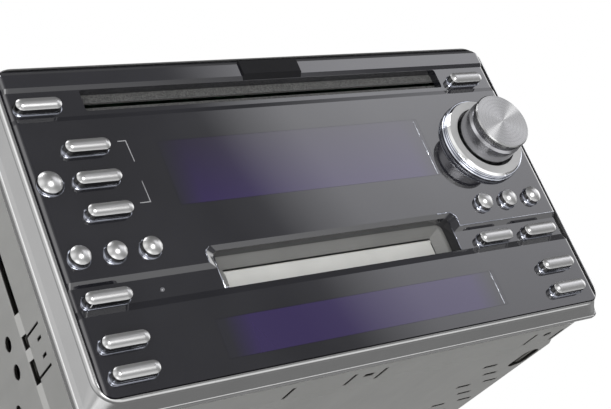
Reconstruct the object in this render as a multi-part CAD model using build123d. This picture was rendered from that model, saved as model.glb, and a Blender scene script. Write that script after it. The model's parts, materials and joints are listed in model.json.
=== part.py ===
from build123d import *
from math import copysign
import os

os.makedirs("parts", exist_ok=True)

# A double-height car disc player. The frame has +X to the right as seen from the front,
# +Y into the dashboard and +Z up. While it is modelled, y = 0 is the front of the silver
# trim ring and z = 0 the underside of the case; save() moves the middle of the bounding box
# to x = y = 0 and the foot of the trim ring's flange to z = 0.

# Case
unit_w = 178.0
unit_h = 100.0
unit_depth = 165.0
sheet = 1.0
bend_r = 2.0
joggle = 0.6
joggle_y = 27.0
joggle_run = 2.4

# Silver trim ring round the face: a rounded lip, a plain band, a cove and a flange
ring_depth = 14.6
ring_wall = 2.2
ring_corner = 5.0
lip_inset = 0.8
lip_corner = 7.0
lip_round = 1.2
band_front = 1.4
cove_front = 5.6
cove_side = 0.7
cove_foot = 0.2
cove_corner = 4.0
flange_front = 6.8
flange_rear = 9.0
flange_side = 1.8
flange_foot = 0.9
flange_corner = 2.0
collar_inset = 0.7
ledge_y = 8.0
ledge_t = 1.6
ledge_w = 3.0

# Moulded front: heights of the strips and how far each stands out of the ring's lip
panel_gap = 0.3
panel_back = 2.6
skirt_t = 1.8
rim_r = 1.9
lower_top = 24.0
md_strip_bottom = 26.2
md_strip_top = 32.3
main_bottom = 33.7
main_top = unit_h - 19.2
cd_strip_bottom = unit_h - 17.7
cd_strip_top = unit_h - 9.4
top_bottom = unit_h - 8.3
top_top = unit_h - 4.1
out_lower = 0.2
out_md = -0.6
out_main = 0.6
out_cd = 0.3
out_top = 1.1
post_r = 2.4
badge_w = 21.0
tab_lift = 0.8
tab_over = 0.7

# Windows and the displays behind them
window_t = 1.4
window_margin = 42.3
window_share = 0.431
window_rise = 0.6008
lower_window_margin = 39.7
lower_window_h = 11.3
lower_window_z = 11.9
seat_gap = 0.05
display_frame = 1.6

# Disc slots
cd_slot_margin = 24.8
cd_slot_h = 6.9
cd_slot_z = unit_h - 12.9
cd_pass_h = 1.6
felt_t = 0.8
felt_over = 1.4
md_margin = 44.3
md_mouth_z = 38.6
md_mouth_r = 2.6
md_mouth_bevel = 2.4
md_well_z = 37.4
md_well_depth = 4.8
md_well_side = 5.0
md_throat_bottom = 26.9
md_throat_top = 34.4
md_funnel = 1.5
md_frame_wall = 2.4
flap_t = 1.2
flap_gap = 0.3
flap_bottom = 27.5
flap_axis_z = 33.1
flap_pin_r = 0.6
flap_pin_l = 1.1

# Push buttons: how far they stand out, and their places from the sides of the face
button_out = {"pill": 3.1, "round": 2.9, "large": 2.5}
button_dome = 0.4
button_travel = 0.8
button_gap = 0.15
button_edge = 0.3
flange_w = 0.9
flange_t = 0.8
pusher_l = 0.3
pill_w = 13.2
pill_h = 3.8
pill_left_margin = 12.1
pill_right_margin = 13.9
top_left_margin = 10.8
top_right_margin = 14.9
lower_right_margin = 14.3
column_margin = 20.4
inner_margin = 32.8
large_margin = 6.9
round_left_margin = 18.3
round_right_margin = 21.0
round_pitch = 10.3
round_r = 2.85
large_round_r = 3.4
top_button_drop = 14.5
column_rises = (0.805, 0.597, 0.389)
large_rise = 0.603
round_rise = 0.137
md_button_z = 28.3
lower_button_z = (15.7, 7.3)

# Volume knob
knob_margin = 20.4
knob_gap = 4.3
collar_share = 0.3036
collar_bevel = 0.7
collar_w = 3.5
collar_h = 3.3
collar_step = 0.35
knob_play = 0.7
knob_h = 12.9
knob_lift = 0.7
knob_push = 0.5
waist_in = 0.9
waist_h = 1.4
cap_in = 0.3
cap_t = 1.9
hub_r = 4.6
knob_wall = 1.4
shaft_r = 3.0
shaft_flat = 2.2
running = 0.05
rotor_r = 5.0
encoder_w = 13.0
encoder_front = 3.4
shaft_hole_r = 5.2

# Circuit boards
board_t = 1.6
front_board_margin = 7.0
main_board_z = 8.0
main_board_margin = 6.0
board_post_inset = 7.0
main_board_front = 24.0
main_board_rear = 160.0
switch_w = 5.0
switch_h = 3.2
plunger_r = 0.8

# Disc mechanisms
disc_y = 92.0
disc_z = cd_slot_z
disc_half_t = 0.6
deck_front = 19.0
deck_rear = 152.0
deck_floor = 14.0
deck_head = 7.0
deck_sheet = 1.2
roller_y = 25.0
roller_r = 3.6
roller_waist = 3.0
roller_end = 16.0
axle_r = 1.5
guide_nip = 1.4
turntable_r = 14.0
turntable_t = 1.6
turntable_hub_r = 7.3
turntable_hub_h = 1.4
turntable_drop = 1.8
motor_r = 12.0
motor_h = 8.0
spindle_r = 1.0
rod_r = 1.5
rod_pitch = 34.0
rod_lift = 5.0
sled_w = 22.0
sled_x = 28.5
sled_t = 6.0
sled_travel = 34.0
lens_r = 2.5
arm_w = 34.0
arm_t = 1.2
arm_front = 78.0
arm_pin_y = 146.0
arm_pin_r = 1.2
arm_drop = 3.3
clamper_r = 12.5
clamper_t = 1.8
clamper_recess = 1.0
clamper_neck_r = 3.0
clamper_head_r = 5.0
damper_r = 5.0
damper_h = 6.0
damper_margin = 10.0
damper_inset = 18.0
ear_w = 8.0
ear_l = 12.0
bracket_margin = 4.0
bracket_foot_w = 5.0
bracket_shelf_l = 18.0
md_deck_wall = 3.7
md_deck_bottom = 22.0
md_deck_top = 42.0
md_deck_rear = 118.0
md_shelf_rear = 95.0

# Rear
rear_t = 1.2
tab_w = 11.0
tab_h = 10.0
tab_t = 2.0
sink_left = 6.0
sink_margin = 11.0
sink_rise = 10.0
sink_base = 4.0
sink_out = 12.0
fin_count = 13
fin_t = 1.6
socket_w = 46.0
socket_h = 20.0
socket_x = -26.0
socket_z = 27.0
socket_in = 19.0
socket_out = 6.0
socket_wall = 1.8
antenna_r = 5.5
antenna_bore_r = 4.0
antenna_margin = 19.0
antenna_z = 42.0
antenna_in = 13.0
antenna_out = 9.0
tuner_w = 30.0
tuner_l = 48.0
tuner_h = 44.0
tuner_wall = 0.8
amplifier_w = 44.0
amplifier_h = 26.0
capacitor_r = 8.0
capacitor_h = 26.0
capacitor_x = (-8.0, 12.0)
capacitor_y = 132.0
small_capacitor_r = 5.0
small_capacitor_h = 16.0
small_capacitor_x = 30.0
small_capacitor_y = 143.0
screw_r = 1.3
screw_play = 0.05
screw_head_r = 2.5
screw_head_t = 1.0
screw_l = 4.0

# Cut-outs of the folded case
flange_h = 8.0
cover_screw_y = 50.0
cover_screw_z = unit_h - 5.0
slit_w = 1.3
side_hole_r = 2.1
side_hole_y = 45.0
side_pitch_y = 66.0
side_pitch_z = 63.0
louvre_l = 6.0
louvre_w = 1.8
louvre_rows = 5
louvre_margin = 20.0
louvre_y = 39.6
louvre_pitch = 16.2
louvre_shift_x = 6.0
floor_slits = (-21.0, 0.8, 12.2)
edge_slits = (15.4, 3.6)
edge_hole = 9.5
edge_window = 5.8

# Sizes that follow from those above
half_w = unit_w / 2
strip_h = main_top - main_bottom
main_window_w = unit_w - 2 * window_margin
main_window_h = window_share * strip_h
main_window_z = main_bottom + window_rise * strip_h
lower_window_w = unit_w - 2 * lower_window_margin
cd_slot_w = unit_w - 2 * cd_slot_margin
md_mouth_w = unit_w - 2 * md_margin
md_well_w = md_mouth_w - 2 * md_mouth_bevel
md_throat_w = md_well_w - 2 * md_well_side
round_z = main_bottom + round_rise * strip_h
knob_x = half_w - knob_margin
collar_r = collar_share * strip_h
collar_front_r = collar_r - collar_bevel
collar_bore_r = collar_r - collar_w
knob_r = collar_bore_r - knob_play
waist_r = knob_r - waist_in
cap_r = knob_r - cap_in
knob_z = round_z + round_r + knob_gap + collar_r
front_board_w = unit_w - 2 * front_board_margin
main_board_w = unit_w - 2 * main_board_margin
damper_x = half_w - damper_margin
deck_w = 2 * damper_x - ear_w
roller_l = deck_w - 2 * roller_end
bracket_x = half_w - bracket_margin
md_deck_w = md_throat_w + 2 * md_deck_wall
sink_w = half_w - sink_margin - sink_left
sink_h = unit_h - 2 * sink_rise
sink_x = sink_left + sink_w / 2
antenna_x = antenna_margin - half_w
louvre_x = half_w - louvre_margin
side_hole_z = (unit_h - side_pitch_z) / 2
ring_in_w = unit_w - 2 * ring_wall
ring_in_h = unit_h - 2 * ring_wall + 0.8
mid_z = unit_h / 2
panel_w = ring_in_w - 2 * panel_gap
panel_h = ring_in_h - 2 * panel_gap
board_front = ledge_y
knob_front = out_main + knob_h
rear_y = unit_depth
middle_y = (rear_y + sink_out - knob_front) / 2
flap_axis_y = md_well_depth + md_funnel + 0.15 + flap_t / 2


def save(name, shape):
    export_step(Pos(0, -middle_y, flange_foot) * shape, f"parts/{name}.step")


def block(x0, x1, y0, y1, z0, z1):
    return Pos((x0 + x1) / 2, (y0 + y1) / 2, (z0 + z1) / 2) * Box(x1 - x0, y1 - y0, z1 - z0)


def front_plane(y):
    """Plane seen from the front: its X is the part's X, and its Y is the part's Z."""
    return Plane(origin=(0, y, 0), x_dir=(1, 0, 0), z_dir=(0, -1, 0))


def prism(outline, y0, y1):
    """Runs an outline drawn on a front plane from y0 back to y1."""
    return extrude(front_plane(y1) * outline, y1 - y0)


def rod_y(x, z, r, y0, y1):
    return prism(Pos(x, z) * Circle(r), y0, y1)


def rod_x(y, z, r, x0, x1):
    return Pos((x0 + x1) / 2, y, z) * Rot(0, 90, 0) * Cylinder(r, x1 - x0)


def rod_z(x, y, r, z0, z1):
    return Pos(x, y, (z0 + z1) / 2) * Cylinder(r, z1 - z0)


def pill(x, z, w, h, grow=0.0):
    return Pos(x, z) * SlotOverall(w + 2 * grow, h + 2 * grow)


# Trim ring

def ring_outline(grow_x, grow_z, corner):
    return Pos(0, mid_z) * RectangleRounded(unit_w + 2 * grow_x, unit_h + 2 * grow_z, corner)


def trim_ring():
    """A rounded lip, a band, a cove that spreads out to a flange, and a ledge for the front."""
    lip_edge = ring_outline(-lip_inset, -lip_inset, lip_corner)
    cove_edge = ring_outline(cove_side, cove_foot, cove_corner)
    crest = ring_outline(flange_side - 0.2, flange_foot - 0.2, flange_corner)
    lip = prism(lip_edge, 0, band_front + 0.4)
    lip = fillet(lip.faces().sort_by(Axis.Y)[0].edges(), lip_round)
    band = loft([front_plane(band_front) * lip_edge, front_plane(cove_front) * cove_edge])
    cove = loft([front_plane(cove_front) * cove_edge, front_plane(flange_front + 0.6) * crest])
    flange = prism(ring_outline(flange_side, flange_foot, flange_corner), flange_front, flange_rear)
    flange = fillet(flange.faces().sort_by(Axis.Y)[0].edges(), 0.8)
    flange = fillet(flange.faces().sort_by(Axis.Y)[-1].edges(), 0.4)
    collar = ring_outline(-collar_inset, -collar_inset, ring_corner - collar_inset)
    ring = lip + band + cove + flange + prism(collar, flange_rear - 1, ring_depth)
    mouth = Pos(0, mid_z) * RectangleRounded(ring_in_w, ring_in_h, ring_corner - 1.0)
    inner_w = ring_in_w - 2 * ledge_w
    inner_h = ring_in_h - 2 * ledge_w
    throat = Pos(0, mid_z) * RectangleRounded(inner_w, inner_h, ring_corner - 2.0)
    ring -= prism(mouth, -1, ledge_y)
    ring -= prism(throat, -1, ring_depth + 1)
    ring -= prism(mouth, ledge_y + ledge_t, ring_depth + 1)
    return ring


# Moulded front

def panel_profile():
    """Side outline of the front: five strips at different heights joined by bevels."""
    edge = (unit_h - panel_h) / 2
    points = [
        (panel_back, edge - 1),
        (-out_lower, edge - 1),
        (-out_lower, lower_top),
        (-out_md, md_strip_bottom),
        (-out_md, md_strip_top),
        (-out_main, main_bottom),
        (-out_main, main_top),
        (-out_cd, cd_strip_bottom),
        (-out_cd, cd_strip_top),
        (-out_top, top_bottom),
        (-out_top, top_top),
        (out_cd, unit_h - edge),
        (panel_back, unit_h - edge),
    ]
    return Polyline(points + points[:1])


def button_layout():
    """Every button: its name, place, outline and the strip that it stands on."""
    column = [main_bottom + rise * strip_h for rise in column_rises]
    lower_right = half_w - lower_right_margin
    inner = half_w - inner_margin
    layout = [
        ("top_left", top_left_margin - half_w, unit_h - top_button_drop, "pill", out_cd),
        ("top_right", half_w - top_right_margin, unit_h - top_button_drop, "pill", out_cd),
        ("column_upper", column_margin - half_w, column[0], "pill", out_main),
        ("column_middle", column_margin - half_w, column[1], "pill", out_main),
        ("column_lower", column_margin - half_w, column[2], "pill", out_main),
        ("round_large", large_margin - half_w, main_bottom + large_rise * strip_h, "large",
         out_main),
        ("md_left", pill_left_margin - half_w, md_button_z, "pill", out_md),
        ("md_inner", inner, md_button_z, "pill", out_md),
        ("md_outer", half_w - pill_right_margin, md_button_z, "pill", out_md),
        ("lower_left_upper", pill_left_margin - half_w, lower_button_z[0], "pill", out_lower),
        ("lower_left_lower", pill_left_margin - half_w, lower_button_z[1], "pill", out_lower),
        ("lower_right_upper", lower_right, lower_button_z[0], "pill", out_lower),
        ("lower_right_lower", lower_right, lower_button_z[1], "pill", out_lower),
    ]
    for side, middle in (("left", round_left_margin - half_w), ("right", half_w - round_right_margin)):
        for place, step in (("outer", -1), ("middle", 0), ("inner", 1)):
            shift = step * round_pitch * (1 if side == "left" else -1)
            layout.append((f"{side}_{place}", middle + shift, round_z, "round", out_main))
    return [(f"button_{name}", x, z, kind, out) for name, x, z, kind, out in layout]


def button_outline(x, z, kind, grow=0.0):
    if kind == "pill":
        return pill(x, z, pill_w, pill_h, grow)
    radius = large_round_r if kind == "large" else round_r
    return Pos(x, z) * Circle(radius + grow)


def post_places():
    """Screw posts behind the moulding that carry the front board."""
    inner = main_window_w / 2 + post_r + 0.9
    under_window = main_window_z - main_window_h / 2 - display_frame - post_r - 1.65
    under_slot = cd_slot_z - cd_slot_h / 2 - felt_over - post_r - 0.65
    lower = [(x, lower_top - 1.8) for x in (27.0 - half_w, half_w - 27.0)]
    middle = [(x, under_window) for x in (-inner, inner)]
    upper = [(x, under_slot) for x in (9.0 - half_w, -25.0, 25.0, half_w - 9.0)]
    return lower + middle + upper


def main_window_outline(grow=0.0):
    return Pos(0, main_window_z) * Rectangle(main_window_w + 2 * grow, main_window_h + 2 * grow)


def lower_window_outline(grow=0.0):
    return Pos(0, lower_window_z) * Rectangle(lower_window_w + 2 * grow, lower_window_h + 2 * grow)


def md_outline(width, top, radius=0.0):
    """The disc well is open at the foot of the strip, with rounded upper corners."""
    height = top - md_strip_bottom
    body = Pos(0, md_strip_bottom + height / 2) * Rectangle(width, height)
    if radius:
        body = fillet(body.vertices().group_by(Axis.Y)[-1], radius)
    return body


def outer_edges(slab):
    """The front edges of the moulding's two sides, along every strip and bevel."""
    side = panel_w / 2
    return [edge for edge in slab.edges()
            if abs(abs(edge.center().X) - side) < 0.01 and edge.center().Y < panel_back - 0.1
            and abs(edge.position_at(0).Z - edge.position_at(1).Z) > 0.1]


def face_panel():
    """The glossy moulding: bevelled strips, disc slots, button holes and window seats."""
    profile = make_face(Plane.YZ * panel_profile())
    slab = extrude(profile, panel_w / 2, both=True)
    slab = fillet(outer_edges(slab), rim_r)
    outline = Pos(0, mid_z) * RectangleRounded(panel_w, panel_h, ring_corner - 1.4)
    body = slab & prism(outline, -out_top - 1, panel_back)
    skirt = prism(outline, panel_back, ledge_y)
    hollow = RectangleRounded(
        panel_w - 2 * skirt_t, panel_h - 2 * skirt_t, ring_corner - 1.4 - skirt_t / 2
    )
    skirt -= prism(Pos(0, mid_z) * hollow, panel_back - 1, ledge_y + 1)
    body += skirt
    for x, z in post_places():
        body += rod_y(x, z, post_r, panel_back - 0.5, board_front)
    well = md_outline(md_well_w + 4, md_well_z + 2)
    body += prism(well, panel_back - 0.5, md_well_depth)
    # Disc well with its bevelled mouth
    bevel_depth = out_main - out_md
    body -= loft([
        front_plane(-out_main) * md_outline(md_mouth_w, md_mouth_z, md_mouth_r),
        front_plane(-out_md) * md_outline(md_well_w, md_well_z, md_mouth_r - bevel_depth / 2),
    ])
    well_face = md_outline(md_well_w, md_well_z, md_mouth_r - bevel_depth / 2)
    body -= prism(well_face, -out_md - 0.01, md_well_depth + 1)
    # Compact disc slot
    slot = Pos(0, cd_slot_z) * RectangleRounded(cd_slot_w, cd_slot_h, 0.8)
    body -= prism(slot, -out_top - 1, panel_back + 1)
    # Window seats: a through opening with a rebate for the lens
    body -= prism(main_window_outline(seat_gap), -out_main - 1, -out_main + window_t)
    body -= prism(main_window_outline(-1.2), -out_main, panel_back + 1)
    body -= prism(lower_window_outline(seat_gap), -out_lower - 1, -out_lower + window_t)
    body -= prism(lower_window_outline(-1.2), -out_lower, panel_back + 1)
    # Holes for the buttons, the knob's shaft and the disc lamp
    for _, x, z, kind, _ in button_layout():
        body -= prism(button_outline(x, z, kind, button_gap), -out_top - 1, panel_back + 1)
    body -= rod_y(knob_x, knob_z, shaft_hole_r, -out_top - 1, panel_back + 1)
    body -= rod_y(-60.6, 28.6, 0.7, -out_top - 1, panel_back + 1)
    for x, z in post_places():
        body -= rod_y(x, z, screw_r + screw_play, panel_back + 1, board_front + 1)
    return body


def badge_tab():
    """Bare raised tab on the middle of the top strip, sloping in under the strip."""
    front = -out_top - tab_lift
    bevel_rise = unit_h - (unit_h - panel_h) / 2 - top_top
    back = -out_top + (out_cd + out_top) * tab_over / bevel_rise
    face = Polyline([
        (front, top_bottom + 0.3),
        (front, top_top + tab_over),
        (back, top_top + tab_over),
        (-out_top, top_top),
        (-out_top, top_bottom),
        (-out_cd, cd_strip_top),
    ], close=True)
    tab = extrude(make_face(Plane.YZ * face), badge_w / 2, both=True)
    return fillet(tab.edges().filter_by(Axis.Z), 0.3)


def window(outline, out):
    return prism(outline, -out, -out + window_t)


def display(width, height, z):
    """A glass cell in its clip frame, lying behind the window."""
    front = panel_back + seat_gap
    cell = Pos(0, z) * Rectangle(width + 2 * display_frame, height + 2 * display_frame)
    body = prism(cell, front, board_front)
    view = Pos(0, z) * Rectangle(width, height)
    return body - prism(view, front - 1, front + 0.6)


# Buttons

def dome_profile(half, front, back):
    """Half section of a button: an upright side and a dome, as (distance, depth) points."""
    rise = button_dome * half
    crest = front + rise
    line = Polyline([(half, crest), (half, back), (0, back), (0, front)])
    arc = RadiusArc((0, front), (half, crest), -(half ** 2 + rise ** 2) / (2 * rise))
    face = make_face(line + arc)
    corner = face.vertices().sort_by_distance((half, crest, 0))[0]
    return fillet(corner, button_edge)


def domed_cap(kind, front, back):
    """Domed cap about the origin: turned ends, with a straight run between them on a pill."""
    if kind == "pill":
        half = pill_h / 2
        run = (pill_w - pill_h) / 2
    else:
        half = large_round_r if kind == "large" else round_r
        run = 0
    face = dome_profile(half, front, back)
    end = revolve(face, Axis.Y)
    if not run:
        return end
    both = face + mirror(face, Plane.YZ)
    bar = Rot(0, 90, 0) * extrude(both, run, both=True)
    return bar + Pos(run, 0, 0) * end + Pos(-run, 0, 0) * end


def button(x, z, kind, out):
    """Domed cap, a retaining flange behind the front and a pusher."""
    flange_y = panel_back + seat_gap
    cap = Pos(x, 0, z) * domed_cap(kind, -out - button_out[kind], flange_y)
    flange = prism(button_outline(x, z, kind, flange_w), flange_y, flange_y + flange_t)
    inside = panel_w / 2 - skirt_t - 0.3
    flange &= block(-inside, inside, flange_y - 1, flange_y + flange_t + 1, 0, unit_h)
    pusher = rod_y(x, z, 1.2, flange_y + flange_t, flange_y + flange_t + pusher_l)
    return cap + flange + pusher


def tact_switches():
    """One switch behind each button, standing on the front board."""
    pusher_end = panel_back + seat_gap + flange_t + pusher_l
    tip = pusher_end + button_travel + 0.1
    switches = []
    for _, x, z, _, _ in button_layout():
        case = block(x - switch_w / 2, x + switch_w / 2, tip + 0.6, board_front,
                     z - switch_h / 2, z + switch_h / 2)
        switches.append(case + rod_y(x, z, plunger_r, tip, tip + 0.7))
    return Compound(children=switches)


# Volume knob

def revolved(points):
    """Turns an outline of (radius, y) points about the knob's axis."""
    face = make_face(Polyline([(r, y) for r, y in points], close=True))
    return Pos(knob_x, 0, knob_z) * revolve(face, Axis.Y)


def knob_collar():
    """Bright stepped ring that stands on the front round the knob."""
    foot = -out_main
    front = foot - collar_h
    return revolved([
        (collar_bore_r, foot),
        (collar_r, foot),
        (collar_r, foot - 0.8),
        (collar_r - collar_step, foot - 0.8),
        (collar_r - collar_step, foot - 1.6),
        (collar_r - 0.15, foot - 1.8),
        (collar_r - 0.15, foot - 2.4),
        (collar_front_r, front),
        (collar_bore_r, front),
    ])


def shaft_outline(grow=0.0):
    """A round shaft with one flat."""
    outline = Circle(shaft_r + grow)
    outline -= Pos(0, shaft_flat + grow + 2) * Rectangle(4 * shaft_r, 4)
    return Pos(knob_x, knob_z) * outline


def volume_knob():
    foot = -out_main - knob_lift
    cap_back = -knob_front + cap_t
    waist_back = cap_back + waist_h
    body = revolved([
        (0, foot), (knob_r - 0.3, foot), (knob_r, foot - 0.3), (knob_r - 0.15, waist_back + 0.6),
        (waist_r, waist_back), (waist_r, cap_back), (0, cap_back),
    ])
    inside = revolved([
        (hub_r, foot + 1), (knob_r - knob_wall, foot + 1),
        (knob_r - knob_wall, waist_back + 1.5), (hub_r, waist_back + 1.5),
    ])
    return body - inside - prism(shaft_outline(), waist_back + 1.5, foot + 1)


def knob_cap():
    back = -knob_front + cap_t
    return revolved([
        (0, back), (cap_r - 0.2, back), (cap_r, back - 0.2),
        (cap_r, -knob_front + 0.35), (cap_r - 0.35, -knob_front), (0, -knob_front),
    ])


def encoder_shaft():
    front = -knob_front + cap_t + waist_h + 1.5
    return prism(shaft_outline(), front, board_front - 1.4)


def encoder_rotor():
    neck_r = shaft_hole_r - 0.7
    rotor = rod_y(knob_x, knob_z, rotor_r, encoder_front + 0.85, board_front - 0.7)
    rotor += rod_y(knob_x, knob_z, neck_r, encoder_front - 0.6, encoder_front + 1)
    return rotor - prism(shaft_outline(running), encoder_front - 2, board_front + 1)


def encoder_housing():
    neck_r = shaft_hole_r - 0.7
    half = encoder_w / 2
    case = block(knob_x - half, knob_x + half, encoder_front, board_front,
                 knob_z - half, knob_z + half)
    case -= rod_y(knob_x, knob_z, rotor_r + running, encoder_front + 0.8, board_front - 0.6)
    return case - rod_y(knob_x, knob_z, neck_r + running, encoder_front - 1, encoder_front + 1)


# Disc slots

def slot_felts():
    """Two felt curtains behind the compact disc slot, with a narrow pass between them."""
    y0 = panel_back + seat_gap
    low = cd_slot_z - cd_slot_h / 2 - felt_over
    high = cd_slot_z + cd_slot_h / 2 + felt_over
    half = cd_slot_w / 2 + 2
    lower = block(-half, half, y0, y0 + felt_t, low, cd_slot_z - cd_pass_h / 2)
    upper = block(-half, half, y0, y0 + felt_t, cd_slot_z + cd_pass_h / 2, high)
    return Compound(children=[lower, upper])


def md_slot_frame():
    """Grey funnel that guides the small disc to its flap, with the flap's pin holes."""
    y0 = md_well_depth
    y1 = ring_depth
    half = md_well_w / 2 + 2
    body = block(-half, half, y0, y1, md_throat_bottom - md_frame_wall, md_well_z + 2)
    tall = md_well_z - md_throat_bottom
    narrow = flap_axis_z + 0.9 - md_throat_bottom
    body -= loft([
        front_plane(y0) * Pos(0, md_throat_bottom + tall / 2) * Rectangle(md_well_w, tall),
        front_plane(y0 + md_funnel) * Pos(0, md_throat_bottom + narrow / 2) * Rectangle(md_throat_w, narrow),
    ])
    throat = block(-md_throat_w / 2, md_throat_w / 2, y0 + md_funnel, y1 + 1,
                   md_throat_bottom, md_throat_top)
    body -= throat
    return body - rod_x(flap_axis_y, flap_axis_z, flap_pin_r + running,
                        -md_throat_w / 2 - flap_pin_l, md_throat_w / 2 + flap_pin_l)


def md_flap():
    """Flap that swings in about its rounded upper edge, on two short pins."""
    half = md_throat_w / 2 - flap_gap
    leaf = block(-half, half, flap_axis_y - flap_t / 2, flap_axis_y + flap_t / 2,
                 flap_bottom, flap_axis_z)
    leaf += rod_x(flap_axis_y, flap_axis_z, flap_t / 2, -half, half)
    pin_end = md_throat_w / 2 + flap_pin_l - 0.2
    return leaf + rod_x(flap_axis_y, flap_axis_z, flap_pin_r, -pin_end, pin_end)


# Boards

def screwed(x, z, y0, y1, r):
    """Clearance for a screw's shank along Y."""
    return rod_y(x, z, r + screw_play, y0, y1)


def front_board():
    """Board behind the face, cut out for both disc slots."""
    height = panel_h - 2 * ledge_w - 1.5
    outline = Pos(0, mid_z) * Rectangle(front_board_w, height)
    plate = prism(outline, board_front, board_front + board_t)
    half = cd_slot_w / 2 + 3
    plate -= block(-half, half, board_front - 1, board_front + 3, cd_slot_z - 3.4, cd_slot_z + 3.4)
    well = md_well_w / 2 + 2.4
    plate -= block(-well, well, board_front - 1, board_front + 3,
                   md_throat_bottom - md_frame_wall - 0.4, md_well_z + 2.4)
    for x, z in post_places():
        plate -= screwed(x, z, board_front - 1, board_front + 3, screw_r)
    return plate


def board_posts():
    x = main_board_w / 2 - board_post_inset
    return [(side * x, y) for side in (-1, 1) for y in (main_board_front + 8, main_board_rear - 4)]


def main_board():
    half = main_board_w / 2
    plate = block(-half, half, main_board_front, main_board_rear, main_board_z,
                  main_board_z + board_t)
    for x, y in board_posts():
        plate -= rod_z(x, y, screw_r + screw_play, main_board_z - 1, main_board_z + 3)
    return plate


# Folded case

def case_section(inset):
    """U of the folded case: floor and two walls, with rounded bends."""
    width = unit_w - 2 * inset
    height = unit_h - sheet - inset
    outer = Pos(0, inset + height / 2) * Rectangle(width, height)
    outer = fillet(outer.vertices().group_by(Axis.Y)[0], bend_r)
    inner = Pos(0, inset + sheet + height / 2) * Rectangle(width - 2 * sheet, height)
    inner = fillet(inner.vertices().group_by(Axis.Y)[0], bend_r - sheet)
    return outer - inner


def through_wall(side, y, z, length, height):
    """A slot through one side wall."""
    x = side * half_w
    return block(x - 4, x + 4, y - length / 2, y + length / 2, z - height / 2, z + height / 2)


def side_holes():
    return [(side_hole_y + i * side_pitch_y, side_hole_z + j * side_pitch_z)
            for i in (0, 1) for j in (0, 1)]


def louvre_places():
    """Three staggered rows of slots along each side of the floor."""
    places = []
    for side in (-1, 1):
        for row in range(louvre_rows):
            for step in range(3):
                x = side * (louvre_x + louvre_shift_x * step)
                y = louvre_y + louvre_pitch * row + louvre_pitch / 2 * step
                places.append((x, y))
    return places


def cover_screws():
    return [(side, y) for side in (-1, 1) for y in (cover_screw_y, rear_y - 15.0)]


def rear_screws():
    return [(x, z) for x in (-half_w + 7.0, half_w - 7.0) for z in (7.0, unit_h - 7.0)]


def side_cuts(side):
    """The slits, tab cuts and holes of one side wall, as on the photographed left side."""
    x = side * half_w
    slit_y = joggle_y + joggle_run / 2 - 0.2
    cuts = [
        through_wall(side, slit_y, 51.0, joggle_run, 22.4),
        through_wall(side, slit_y, 31.5, joggle_run, 4.0),
        through_wall(side, slit_y, 22.8, joggle_run, 6.8),
    ]
    cuts += [through_wall(side, 22.6, z, 9.6, 0.8) for z in (32.4, 20.5)]
    cuts += [through_wall(side, 20.0, z, 2.8, 1.0) for z in (28.8, 24.0)]
    cuts += [rod_x(38.4, z, 2.2, x - 4, x + 4) for z in (27.5, 35.8)]
    cuts += [rod_x(y, z, side_hole_r, x - 4, x + 4) for y, z in side_holes()]
    return cuts


def floor_cuts():
    slits = list(floor_slits) + [half_w - margin for margin in edge_slits]
    cuts = [block(x - slit_w / 2, x + slit_w / 2, 18.4, 26.4, -1, 3) for x in slits]
    cuts.append(block(5.2, 8.8, 20.2, 22.4, -1, 3))
    cuts.append(rod_z(half_w - edge_hole, 20.2, 1.4, -1, 3))
    for x, y in louvre_places():
        cuts.append(block(x - louvre_l / 2, x + louvre_l / 2, y - louvre_w / 2, y + louvre_w / 2,
                          -1, sheet + 0.6))
    for side in (-1, 1):
        window = Pos(side * (half_w - edge_window), 38.6) * SlotOverall(13.6, 6.8, rotation=90)
        cuts.append(Pos(0, 0, -1) * extrude(window, sheet + 1.6))
    return cuts


def chassis():
    """Folded case: a stepped band behind the trim ring, slits, louvres and mounting holes."""
    joggle_end = joggle_y + joggle_run
    body = prism(case_section(joggle), ring_depth, joggle_y)
    body += loft([front_plane(joggle_y) * case_section(joggle),
                  front_plane(joggle_end) * case_section(0)], ruled=True)
    body += prism(case_section(0), joggle_end, rear_y - rear_t)
    # Front frame plate with the ways through for both discs
    edge = joggle + sheet / 2
    frame = block(-half_w + edge, half_w - edge, ring_depth, ring_depth + sheet, edge,
                  unit_h - sheet - 0.1)
    cd_half = cd_slot_w / 2 + 3
    frame -= block(-cd_half, cd_half, ring_depth - 1, ring_depth + 3, cd_slot_z - 5, cd_slot_z + 5)
    md_half = md_throat_w / 2
    frame -= block(-md_half, md_half, ring_depth - 1, ring_depth + 3, md_throat_bottom,
                   md_throat_top)
    body += frame
    # Posts for the main board and tabs for the rear plate
    for x, y in board_posts():
        body += rod_z(x, y, post_r + 0.6, sheet / 2, main_board_z)
        body -= rod_z(x, y, screw_r + screw_play, sheet + 1, main_board_z + 1)
    for x, z in rear_screws():
        inner = abs(x) - tab_w / 2
        x0, x1 = sorted((copysign(inner, x), copysign(half_w - sheet / 2, x)))
        body += block(x0, x1, rear_y - rear_t - tab_t, rear_y - rear_t, z - tab_h / 2, z + 4)
        body -= screwed(x, z, rear_y - 9, rear_y, screw_r)
    for side in (-1, 1):
        for cut in side_cuts(side):
            body -= cut
    for side, y in cover_screws():
        x = side * half_w
        body -= rod_x(y, cover_screw_z, screw_head_r + 0.15, x - 3, x + 3)
    for cut in floor_cuts():
        body -= cut
    return body


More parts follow.
